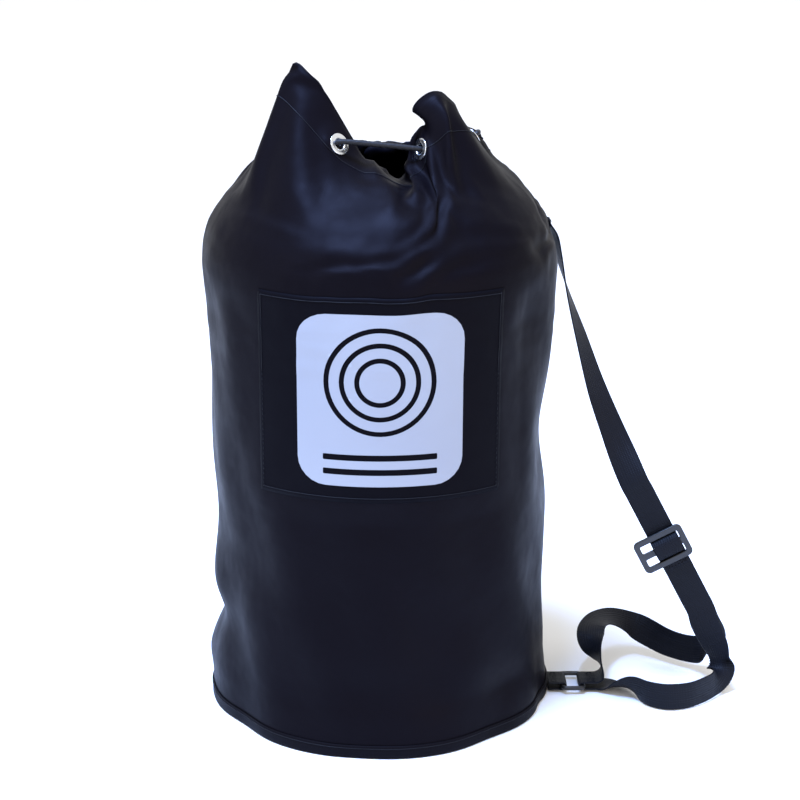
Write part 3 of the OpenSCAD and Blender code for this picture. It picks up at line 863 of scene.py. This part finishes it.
def make_print():
    """The printed film, cut into small faces so that it lies on the patch's own curve."""
    film = plate("print_mark", print_outlines(), 0.0001, 0)
    mesh = bmesh.new()
    mesh.from_mesh(film.data)
    step = 0.004
    for axis, size in enumerate(PRINT_SIZE):
        for place in np.arange(-size / 2 + step, size / 2, step):
            normal = [1.0 if k == axis else 0.0 for k in range(3)]
            at = [place if k == axis else 0.0 for k in range(3)]
            parts = mesh.verts[:] + mesh.edges[:] + mesh.faces[:]
            bmesh.ops.bisect_plane(mesh, geom=parts, plane_co=at, plane_no=normal)
    mesh.to_mesh(film.data)
    mesh.free()
    layer = film.data.uv_layers.new(name="cut") if not film.data.uv_layers else film.data.uv_layers[0]
    for loop in film.data.loops:
        layer.data[loop.index].uv = film.data.vertices[loop.vertex_index].co.xy
    for vert in film.data.vertices:
        x, y, z = vert.co
        angle = -90 + math.degrees(math.asin(x / BAG_R))
        vert.co = on_cloth(angle, PRINT_Z + y, PATCH_T + PRINT_LIFT + z)
    film.data.materials.clear()
    finish_piece(film, "bag", PRINT, ["front_print"])


def make_strap_top():
    low, high = ANCHOR_HEIGHTS
    end = skin("strap_sewn_top", span(*ANCHOR_ANGLES, 1), span(low, high, 0.003), WEB_T, 0.0001, False, 0.6)
    finish_piece(end, "bag", WEBBING, ["strap_top_end"])
    a0, a1 = ANCHOR_ANGLES[0] + 1, ANCHOR_ANGLES[1] - 1
    z0, z1 = low + 0.004, high - 0.004
    corners = [(a0, z0), (a1, z0), (a1, z1), (a0, z1), (a0, z0), (a1, z1), (a1, z0), (a0, z1)]
    stitches("strap_top_stitching", *corner_line(corners, WEB_T), "bag", 0.0036, 0.0026)


make_wall()
make_hem()
make_seam_tape()
make_base()
make_binding()
make_patch()
make_strap_top()

# ---------------------------------------------------------------- eyelets


def lathe(name, profile, centre, normal, around=48):
    """A ring turned from a closed profile of (radius, height along the normal)."""
    turn = Vector(normal).to_track_quat("Z", "Y").to_matrix()
    count = len(profile)
    verts = [
        Vector(centre) + turn @ Vector((r * math.cos(a), r * math.sin(a), z))
        for a in (2 * math.pi * i / around for i in range(around)) for r, z in profile
    ]
    faces = [
        (i * count + k, (i + 1) % around * count + k, (i + 1) % around * count + (k + 1) % count,
         i * count + (k + 1) % count)
        for i in range(around) for k in range(count)
    ]
    return new_object(name, verts, faces)


def arc(middle, radius, start, end, steps):
    return [
        (middle[0] + radius * math.cos(math.radians(a)), middle[1] + radius * math.sin(math.radians(a)))
        for a in np.linspace(start, end, steps)
    ]


def make_eyelets():
    flange = 0.0010
    barrel = 0.0009
    stack = 2 * WALL_T
    rim = flange / 2
    for k in range(1, EYELETS + 1):
        centre = EYELET_FRAMES[k - 1][0]
        _, _, normal = eyelet_axes(k)
        front = (
            [(EYELET_HOLE_R + barrel, 0)] + [(EYELET_R - 0.0006, 0)]
            + arc((EYELET_R - rim, rim), rim, -80, 80, 6)
            + [(EYELET_R - 0.0022, flange * 1.15), (EYELET_HOLE_R + 0.0016, flange * 1.15)]
            + arc((EYELET_HOLE_R + 0.0010, flange * 0.3), 0.0010, 60, 180, 7)
            + arc((EYELET_HOLE_R + 0.0008, -stack - flange), 0.0008, 180, 300, 5)
            + [(EYELET_HOLE_R + barrel + 0.0003, -stack - flange), (EYELET_HOLE_R + barrel, -stack)]
        )
        eyelet = lathe(f"eyelet_ring_{k}", front, centre, normal)
        finish_piece(eyelet, "bag", METAL, [f"eyelet_{k}"])
        low = -stack - flange
        back = (
            [(EYELET_HOLE_R + barrel + 0.0001, low), (EYELET_R - 0.0006, low)]
            + arc((EYELET_R - rim, low + rim), rim, -80, 80, 6)
            + [(EYELET_HOLE_R + barrel + 0.0001, low + flange)]
        )
        washer = lathe(f"eyelet_back_{k}", back, centre, normal)
        finish_piece(washer, "bag", METAL, [f"eyelet_washer_{k}"])

# ---------------------------------------------------------------- drawcord, tails and knots

LACING = [5, 4, 3, 2, 1, 8, 7, 6]
CORD_OUT = 0.007
CORD_IN = 0.008
TAIL_GAP = 0.0024
TAIL_SPREAD = [0, 0.001, 0.002, 0.003, 0.005, 0.007, 0.008, 0.008]
TAIL_DROP = [
    (0, 0.146, 0.437), (0, 0.154, 0.428), (0, 0.158, 0.412), (0.001, 0.158, 0.390),
    (0.002, 0.158, 0.360), (0.003, 0.1575, 0.330), (0.003, 0.157, 0.300), (0.002, 0.157, 0.272),
]
LOCK_SLOPE = math.radians(34)
LOCK_START = np.array([0.003, 0.107, 0.464])
LOCK_DOWN = np.array([0, math.cos(LOCK_SLOPE), -math.sin(LOCK_SLOPE)])
KNOT_DROP = 0.006
CORD_STEP = 0.0008


def tube(name, path, radius, sides=12, closed=False, braid=0.0, lay=0.0065):
    """A round tube along a path. braid raises two crossing sets of strands of the given lay."""
    p = np.asarray(path, float)
    count = len(p)
    if closed:
        ahead, behind = np.roll(p, -1, axis=0), np.roll(p, 1, axis=0)
    else:
        ahead, behind = np.concatenate([p[1:], p[-1:]]), np.concatenate([p[:1], p[:-1]])
    tangents = unit(ahead - behind)
    along = np.concatenate([[0], np.cumsum(np.linalg.norm(np.diff(p, axis=0), axis=1))])
    side = unit(np.cross(tangents[0], [0.31, 0.52, 0.79]))
    verts = []
    for i in range(count):
        side = unit(side - (side @ tangents[i]) * tangents[i])
        other = np.cross(tangents[i], side)
        for k in range(sides):
            a = 2 * math.pi * k / sides
            turn = 2 * math.pi * along[i] / lay
            strand = max(math.cos(4 * a + turn), math.cos(4 * a - turn))
            r = radius * (1 - braid * (1 - strand) / 2)
            verts.append(p[i] + r * (math.cos(a) * side + math.sin(a) * other))
    faces, uvs = [], []
    arc_step = 2 * math.pi * radius / sides
    for i in range(count if closed else count - 1):
        n = (i + 1) % count
        v0 = along[i]
        v1 = along[n] if n else along[i] + np.linalg.norm(p[0] - p[-1])
        for k in range(sides):
            m = (k + 1) % sides
            faces.append((i * sides + k, i * sides + m, n * sides + m, n * sides + k))
            u0, u1 = k * arc_step, (k + 1) * arc_step
            uvs += [(u0, v0), (u1, v0), (u1, v1), (u0, v1)]
    if not closed:
        for ring, order in ((0, range(sides - 1, -1, -1)), (count - 1, range(sides))):
            faces.append([ring * sides + k for k in order])
            uvs += [(k * arc_step, along[ring]) for k in order]
    return new_object(name, verts, faces, uvs)


def cord_point(k, out):
    _, _, normal = eyelet_axes(k)
    return EYELET_FRAMES[k - 1][0] + out * normal


def lacing_path():
    """Odd places in the lacing run inwards through their eyelet and even places run outwards."""
    points = []
    for place, k in enumerate(LACING):
        ends = [cord_point(k, CORD_OUT), cord_point(k, -0.001), cord_point(k, -CORD_IN)]
        points += ends if place % 2 == 0 else ends[::-1]
    return points


def tail_path(k, side):
    entry = LOCK_START - 0.022 * LOCK_DOWN + np.array([side * (TAIL_GAP + 0.0016), 0, 0])
    start = cord_point(k, CORD_OUT)
    points = [start, (start + entry) / 2, entry]
    for step in range(-12, 37, 12):
        points.append(LOCK_START + step / 1000 * LOCK_DOWN + np.array([side * TAIL_GAP, 0, 0]))
    for place, apart in zip(TAIL_DROP, TAIL_SPREAD):
        points.append(np.array(place) + np.array([LOCK_START[0] + side * (TAIL_GAP + apart), 0, 0]))
    return points


def knot_path(centre):
    """The over-and-under turns of a drawn-up overhand knot, standing on its cord."""
    t = np.linspace(0, 2 * math.pi, 120, endpoint=False)
    size = 0.00165
    return np.stack([
        centre[0] + size * (np.sin(t) + 2 * np.sin(2 * t)),
        centre[1] + size * 1.28 * np.sin(3 * t),
        centre[2] + size * (np.cos(t) - 2 * np.cos(2 * t)),
    ], axis=1)


def braided(name, path, radius=CORD_D / 2, closed=False):
    return tube(name, path, radius, 14, closed, 0.10)


def make_cords():
    loop = braided("drawcord_loop", even_path(smooth_path(lacing_path(), 8), CORD_STEP))
    finish_piece(loop, "bag", CORD, ["drawcord"])
    for name, k, side in (("left", 6, -1), ("right", 5, 1)):
        route = even_path(smooth_path(tail_path(k, side), 8), CORD_STEP)
        tail = braided(f"cord_tail_{name}", route)
        finish_piece(tail, "bag", CORD, [f"drawcord_tail_{name}"])
        foot = route[-1] - np.array([0, 0, KNOT_DROP])
        knot = braided(f"end_knot_{name}", knot_path(foot), closed=True)
        finish_piece(knot, "bag", CORD, [f"tail_knot_{name}"])
        stub_path = [foot + np.array([0, 0, z]) for z in (0.002, -0.002, -0.006, -0.0095)]
        stub = braided(f"cut_end_{name}", even_path(stub_path, CORD_STEP), 0.94 * CORD_D / 2)
        finish_piece(stub, "bag", CORD)

# ---------------------------------------------------------------- webbing

LEAN_DOWN = np.array([math.sin(STRAP_LEAN), 0, -math.cos(STRAP_LEAN)])
LEAN_ACROSS = np.array([math.cos(STRAP_LEAN), 0, math.sin(STRAP_LEAN)])
STRAP_CENTRE = SLIDER_AT + LEAN_ACROSS * WEB_SHIFT + np.array([0, WEB_BACK, 0])
STRAIGHT = (-0.070, -0.052, 0, 0.052, 0.070)
RETURN_STRAIGHT = (0.070, 0.052, 0)
RETURN_BACK = 0.0021

# Stations of the strap: centre in metres, and which way its width runs
STRAP_ABOVE = [
    [(0.145, 0.046, 0.413), (-0.3, 0.95, 0)], [(0.1505, 0.045, 0.404), (-0.28, 0.96, 0)],
    [(0.155, 0.042, 0.388), (-0.2, 0.98, 0)], [(0.164, 0.036, 0.354), (0.1, 0.98, 0.05)],
    [(0.176, 0.029, 0.316), (0.37, 0.9, 0.2)], [(0.190, 0.020, 0.272), (0.6, 0.74, 0.33)],
    [(0.206, 0.009, 0.232), (0.76, 0.5, 0.4)],
]
STRAP_BELOW = [
    [(0.291, -0.007, 0.060), (0.88, -0.1, 0.44)], [(0.300, -0.011, 0.042), (0.8, -0.4, 0.4)],
    [(0.305, -0.015, 0.027), (0.5, -0.75, -0.35)], [(0.304, -0.024, 0.018), (0.2, -0.6, -0.75)],
    [(0.297, -0.035, 0.014), (0, -0.1, -1)], [(0.285, -0.047, 0.0136), (0, 0, -1)],
    [(0.270, -0.057, 0.0134), (0, 0, -1)], [(0.252, -0.060, 0.0134), (0, 0, -1)],
    [(0.237, -0.054, 0.0134), (0, 0.1, -1)], [(0.227, -0.042, 0.013), (0.1, 0.3, -0.95)],
    [(0.219, -0.031, 0.0095), (0.4, 0.65, -0.65)], [(0.212, -0.021, 0.005), (0.6, 0.75, -0.2)],
    [(0.204, -0.0145, 0.0033), (0.3, 0.95, 0)], [(0.1962, -0.011, 0.0027), (0.1, 0.99, 0)],
]
STRAP_RETURN = [
    [(0.193, -0.011, 0.0088), (0, 1, 0)], [(0.1955, -0.011, 0.0092), (0, 1, 0)],
    [(0.1995, -0.011, 0.012), (0, 1, 0)], [(0.200, -0.0105, 0.018), (0, 1, 0)],
    [(0.196, -0.007, 0.027), (-0.3, 0.95, -0.1)], [(0.192, 0, 0.036), (-0.7, 0.7, -0.2)],
    [(0.191, 0.010, 0.043), (-0.9, 0.3, 0)], [(0.195, 0.024, 0.046), (-0.85, 0.5, 0)],
    [(0.205, 0.041, 0.044), (-0.6, 0.7, 0.2)],
    [(0.220, 0.055, 0.038), (-0.3, 0.8, 0.5)], [(0.236, 0.060, 0.030), (-0.1, 0.7, 0.75)],
    [(0.250, 0.054, 0.024), (0, 0.5, 0.87)], [(0.264, 0.043, 0.020), (0.1, 0.3, 0.95)],
    [(0.277, 0.033, 0.019), (0.1, 0.2, 0.97)], [(0.289, 0.025, 0.020), (0.3, 0.2, 0.93)],
    [(0.299, 0.016, 0.024), (0.7, 0.3, 0.65)], [(0.303, 0.010, 0.032), (0.85, 0.2, 0.48)],
    [(0.300, 0.004, 0.045), (0.88, 0.05, 0.46)], [(0.292, -0.003, 0.061), (0.88, -0.05, 0.47)],
]


def web_frames(stations, steps, step=0.0016):
    """Centres, width directions and face normals at even steps along the webbing."""
    centres = smooth_path([s[0] for s in stations], steps)
    widths = smooth_path(unit([s[1] for s in stations]), steps)
    both = even_path(np.concatenate([centres, widths], axis=1), step)
    p = both[:, :3]
    tangents = unit(np.concatenate([p[1:], p[-1:]]) - np.concatenate([p[:1], p[:-1]]))
    normals = unit(np.cross(tangents, both[:, 3:]))
    return p, np.cross(normals, tangents), normals


def webbing(name, stations, steps=8, width=WEB_W, thickness=WEB_T, ribs=9):
    """A woven band with round edges and ribs that run along it."""
    p, widths, normals = web_frames(stations, steps)
    across = 37
    xs = np.linspace(-1, 1, across)
    full = np.sqrt(np.clip(1 - np.abs(xs) ** 14, 0, 1)) * 0.5 * thickness
    full = full * (0.90 + 0.10 * np.cos(xs * math.pi * ribs)) + 0.00004
    outline = [(x * width / 2, h) for x, h in zip(xs, full)]
    outline += [(x * width / 2, -h) for x, h in zip(xs[::-1], full[::-1])]
    around = len(outline)
    verts = [c + x * w + y * n for c, w, n in zip(p, widths, normals) for x, y in outline]
    along = np.concatenate([[0], np.cumsum(np.linalg.norm(np.diff(p, axis=0), axis=1))])
    faces, uvs = [], []
    for i in range(len(p) - 1):
        for k in range(around):
            m = (k + 1) % around
            faces.append((i * around + k, (i + 1) * around + k, (i + 1) * around + m, i * around + m))
            u0, u1 = outline[k][0], outline[m][0]
            uvs += [(u0, along[i]), (u0, along[i + 1]), (u1, along[i + 1]), (u1, along[i])]
    last = (len(p) - 1) * around
    faces.append(list(range(around)))
    faces.append([last + k for k in reversed(range(around))])
    uvs += [outline[k] for k in range(around)] + [outline[k] for k in reversed(range(around))]
    return new_object(name, verts, faces, uvs)


def strap_at(along, back):
    return [STRAP_CENTRE + along * LEAN_DOWN + np.array([0, back, 0]), LEAN_ACROSS]


def slider_point(x, y, z):
    """A place in the adjuster's own frame: X across the strap, Y up it, Z out of its face."""
    return SLIDER_AT + x * LEAN_ACROSS - y * LEAN_DOWN + z * np.array([0, -1, 0])


def on_slider(path):
    return [[slider_point(WEB_SHIFT, y, z), LEAN_ACROSS] for y, z in path]


def hump_path():
    side = [(-0.0099, -0.0030), (-0.0092, -0.0008), (-0.0076, 0.0022), (-0.0050, 0.0042)]
    return side + [(0, 0.0047)] + [(-y, z) for y, z in reversed(side)]


def sewn_end_path():
    return [
        (-0.022, -0.00245), (-0.010, -0.00245), (0.0034, -0.00245), (0.0043, -0.0012), (0.0043, 0.0012),
        (0.0034, 0.00245), (-0.0034, 0.00245), (-0.0043, 0.0012), (-0.0043, -0.0008),
    ]


def web_fold_path(bar_x, reach_low, reach_high):
    """Webbing folded round one of the ring's bars, with its two plies lying one over the other."""
    toward = math.copysign(1, reach_low - bar_x)
    r = RING_R + 0.00035 + 0.0007
    low = [(reach_low, RING_Z - r), ((reach_low + bar_x) / 2, RING_Z - r)]
    turn = [
        (bar_x - toward * r * math.cos(math.radians(a)), RING_Z + r * math.sin(math.radians(a)))
        for a in range(-90, 91, 20)
    ]
    high = [((reach_high + bar_x) / 2, RING_Z + r), (reach_high, RING_Z + r)]
    return [[(x, RING_Y, z), (0, 1, 0)] for x, z in low + turn + high]


def box_stitches(name, corners, normal, body):
    """Box and cross stitching over flat webbing, through four corners."""
    order = [0, 1, 2, 3, 0, 2, 1, 3]
    line = [corners[k] for k in order]
    stitches(name, line, [normal] * len(line), body, 0.0032, 0.0023)


def fold_corners(x0, x1, half):
    """Corners of the stitching on top of a fold of webbing round the ring."""
    high = RING_Z + 0.0038
    return [(x, RING_Y + y, high) for x, y in ((x0, -half), (x0, half), (x1, half), (x1, -half))]


def make_straps():
    main = webbing("strap_web", STRAP_ABOVE + [strap_at(a, 0) for a in STRAIGHT] + STRAP_BELOW)
    main.data.materials.append(WEBBING)
    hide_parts("shoulder_strap")
    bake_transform(main)
    back = webbing("strap_back_web", STRAP_RETURN + [strap_at(a, RETURN_BACK) for a in RETURN_STRAIGHT])
    back.data.materials.append(WEBBING)
    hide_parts("strap_return")
    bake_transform(back)
    hump = webbing("strap_over_bar", on_slider(hump_path()))
    finish_piece(hump, "adjuster", WEBBING, ["strap_hump"])
    sewn = webbing("strap_sewn_loop", on_slider(sewn_end_path()), thickness=0.0012)
    finish_piece(sewn, "adjuster", WEBBING, ["strap_sewn_end"])
    half = WEB_W / 2 - 0.003
    corners = [slider_point(WEB_SHIFT + x, y, -0.0018) for x, y in
               ((-half, -0.0205), (half, -0.0205), (half, -0.0125), (-half, -0.0125))]
    box_stitches("sewn_end_stitching", corners, np.array([0, -1, 0]), "adjuster")
    turn = webbing("strap_ring_fold", web_fold_path(OUTER_BAR_X, 0.1966, 0.1934), 3)
    finish_piece(turn, "ring", WEBBING, ["strap_ring_turn"])
    box_stitches("ring_fold_stitching", fold_corners(0.1865, 0.1915, half), np.array([0, 0, 1]), "ring")
    tab = webbing("ring_tab_fold", web_fold_path(INNER_BAR_X, 0.1508, 0.1508), 3)
    finish_piece(tab, "bag", WEBBING, ["ring_tab"])
    box_stitches("ring_tab_stitching", fold_corners(0.1535, 0.1585, half), np.array([0, 0, 1]), "bag")

# ---------------------------------------------------------------- adjuster, ring and cord lock


def round_box(width, length, corner):
    """Outline of a rectangle with round corners, as (x, y) points."""
    points = []
    for sx, sy, start in ((1, 1, 0), (-1, 1, 90), (-1, -1, 180), (1, -1, 270)):
        middle = (sx * (width / 2 - corner), sy * (length / 2 - corner))
        points += arc(middle, corner, start, start + 90, 7)
    return points


def plate(name, outlines, thickness, rounding):
    """A flat plate with holes and rounded edges, from closed outlines in its own plane."""
    curve = bpy.data.curves.new(name + "_outline", "CURVE")
    curve.dimensions = "2D"
    curve.fill_mode = "BOTH"
    curve.extrude = thickness / 2 - rounding
    curve.bevel_depth = rounding
    curve.bevel_resolution = 3
    curve.offset = -rounding
    for outline in outlines:
        line = curve.splines.new("POLY")
        line.points.add(len(outline) - 1)
        line.use_cyclic_u = True
        for point, (x, y) in zip(line.points, outline):
            point.co = (x, y, 0, 1)
    shape = bpy.data.objects.new(name + "_outline", curve)
    bpy.context.scene.collection.objects.link(shape)
    graph = bpy.context.evaluated_depsgraph_get()
    mesh = bpy.data.meshes.new_from_object(shape.evaluated_get(graph))
    bpy.data.objects.remove(shape)
    mesh.name = name
    mesh.polygons.foreach_set("use_smooth", [True] * len(mesh.polygons))
    obj = bpy.data.objects.new(name, mesh)
    bpy.context.scene.collection.objects.link(obj)
    bpy.context.view_layer.update()
    return obj


def make_slider():
    width, length, thick = SLIDER_SIZE
    slot_at = length / 2 - SLIDER_BAR - SLIDER_SLOT[1] / 2
    holes = [
        [(x, y + side * slot_at) for x, y in round_box(*SLIDER_SLOT, 0.0012)] for side in (-1, 1)
    ]
    body = plate("slider_body", [round_box(width, length, 0.005)] + holes, thick, 0.0008)
    body.data.transform(Matrix.Translation(SLIDER_AT) @ Matrix.Rotation(-STRAP_LEAN, 4, "Y")
                        @ Matrix.Rotation(math.pi / 2, 4, "X"))
    body.data.materials.clear()
    finish_piece(body, "adjuster", PLASTIC, ["slide_adjuster"])


def make_ring():
    corner = 0.003
    x0, x1 = INNER_BAR_X, OUTER_BAR_X
    middle_x = (x0 + x1) / 2
    outline = round_box(x1 - x0, 2 * RING_HALF, corner)
    path = [(middle_x + x, RING_Y + y, RING_Z) for x, y in outline]
    ring = tube("ring_loop", path, RING_R, 20, True)
    finish_piece(ring, "ring", PLASTIC, ["strap_ring"])


def repaint(nodes, paint):
    """Gives CAD pieces that stay their own worn finish."""
    for name in nodes:
        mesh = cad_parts[name].data
        for k in range(len(mesh.materials)):
            mesh.materials[k] = paint


make_print()
make_eyelets()
make_cords()
make_straps()
make_slider()
make_ring()
repaint(["cord_lock_barrel", "cord_lock_button"], PLASTIC)
repaint(["cord_lock_spring"], STEEL)
